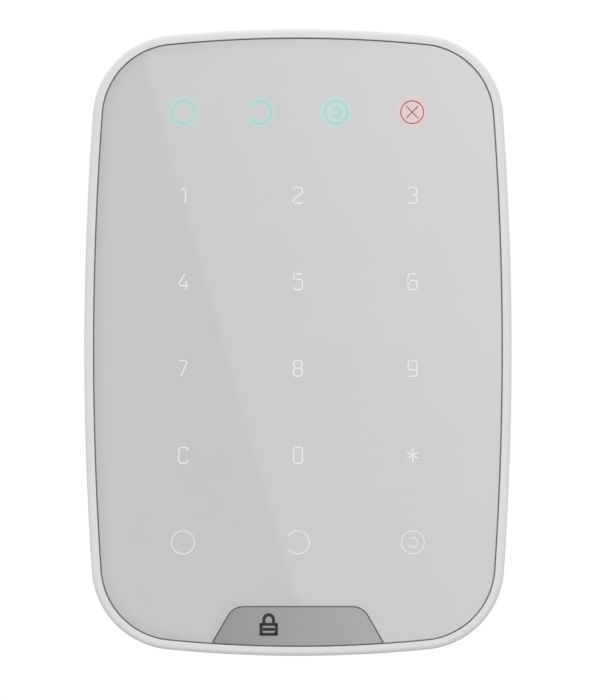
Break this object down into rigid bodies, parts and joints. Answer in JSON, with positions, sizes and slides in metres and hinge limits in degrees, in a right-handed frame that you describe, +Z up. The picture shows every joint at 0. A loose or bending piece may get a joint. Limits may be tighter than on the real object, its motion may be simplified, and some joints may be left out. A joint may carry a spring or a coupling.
{
  "type": "alarm keypad",
  "caption": "Slim wall-mounted alarm keypad with a flush touch panel of back-lit keys in a rounded white frame, on a slide-on wall bracket with a tamper tab.",
  "frame": {"origin": "middle of the wall bracket's back face, on the wall", "axes": "+X to the right seen from the front, +Y into the wall, +Z up; the touch panel faces -Y"},
  "size_m": [0.103, 0.014, 0.1512],
  "materials": {
    "casing_white": "satin",
    "bracket_white": "fine texture",
    "panel_grey": "gloss",
    "badge_grey": "gloss",
    "adhesive_black": "matte",
    "legend_print": "satin",
    "touch_clear": "clear amber",
    "electrode_metal": "satin",
    "board_green": "solder mask",
    "chip_black": "matte",
    "can_steel": "tinned",
    "led_body": "clear",
    "baffle_white": "matte",
    "diffuser_milk": "milky",
    "connector_ivory": "satin",
    "capacitor_ceramic": "satin",
    "capacitor_can": "satin",
    "antenna_metal": "tinned",
    "sounder_black": "satin",
    "sounder_brass": "satin",
    "tray_black": "satin",
    "cell_wrap": "gloss",
    "contact_nickel": "nickel",
    "spring_steel": "nickel",
    "screw_zinc": "zinc plated",
    "button_grey": "satin",
    "switch_black": "satin",
    "label_silver": "satin"
  },
  "bodies": {
    "bracket": {"wall_bracket": "bracket_white"},
    "lock_screw": {"lock_screw": "screw_zinc"},
    "tamper_button": {"tamper_button": "button_grey", "tamper_switch_stem": "button_grey"},
    "power_button": {"power_button": "button_grey", "power_switch_stem": "button_grey"},
    "housing": {"front_frame": "casing_white", "rear_shell": "casing_white", "touch_panel": "panel_grey", "badge_plate": "badge_grey", "panel_adhesive": "adhesive_black", "legend_film": "legend_print", "touch_film": "touch_clear", "touch_electrodes": "electrode_metal", "film_connector": "connector_ivory", "main_board": "board_green", "light_baffle": "baffle_white", "key_diffusers": "diffuser_milk", "indicator_diffusers": "diffuser_milk", "key_leds": "led_body", "indicator_leds": "led_body", "controller_chip": "chip_black", "touch_chip": "chip_black", "radio_chip": "chip_black", "radio_shield": "can_steel", "crystal": "can_steel", "small_capacitors": "capacitor_ceramic", "storage_capacitors": "capacitor_can", "antenna_left": "antenna_metal", "antenna_right": "antenna_metal", "sounder_case": "sounder_black", "sounder_disc": "sounder_brass", "tamper_switch": "switch_black", "tamper_spring": "spring_steel", "power_switch": "switch_black", "battery_tray_left": "tray_black", "battery_tray_right": "tray_black", "battery_left_1": "cell_wrap", "battery_left_2": "cell_wrap", "battery_right_1": "cell_wrap", "battery_right_2": "cell_wrap", "contact_plate_left": "contact_nickel", "contact_plate_right": "contact_nickel", "contact_spring_left": "contact_nickel", "contact_spring_right": "contact_nickel", "shell_screws": "screw_zinc", "board_screws": "screw_zinc", "rear_label": "label_silver"}
  },
  "joints": [
    {"name": "housing_slide", "type": "slide", "parent": "bracket", "child": "housing", "axis": [0, 0, 1], "range_m": [0, 0.008]},
    {"name": "tamper_press", "type": "slide", "parent": "housing", "child": "tamper_button", "axis": [0, -1, 0], "range_m": [0, 0.0006], "stiffness_N_per_m": 250, "springref_m": -0.0008, "deforming": ["tamper_spring"]},
    {"name": "power_press", "type": "slide", "parent": "housing", "child": "power_button", "axis": [0, -1, 0], "range_m": [0, 0.0007], "stiffness_N_per_m": 800, "springref_m": -0.0005},
    {"name": "lock_screw_turn_out", "type": "slide", "parent": "bracket", "child": "lock_screw", "axis": [0, 0, -1], "range_m": [0, 0.006]}
  ]
}
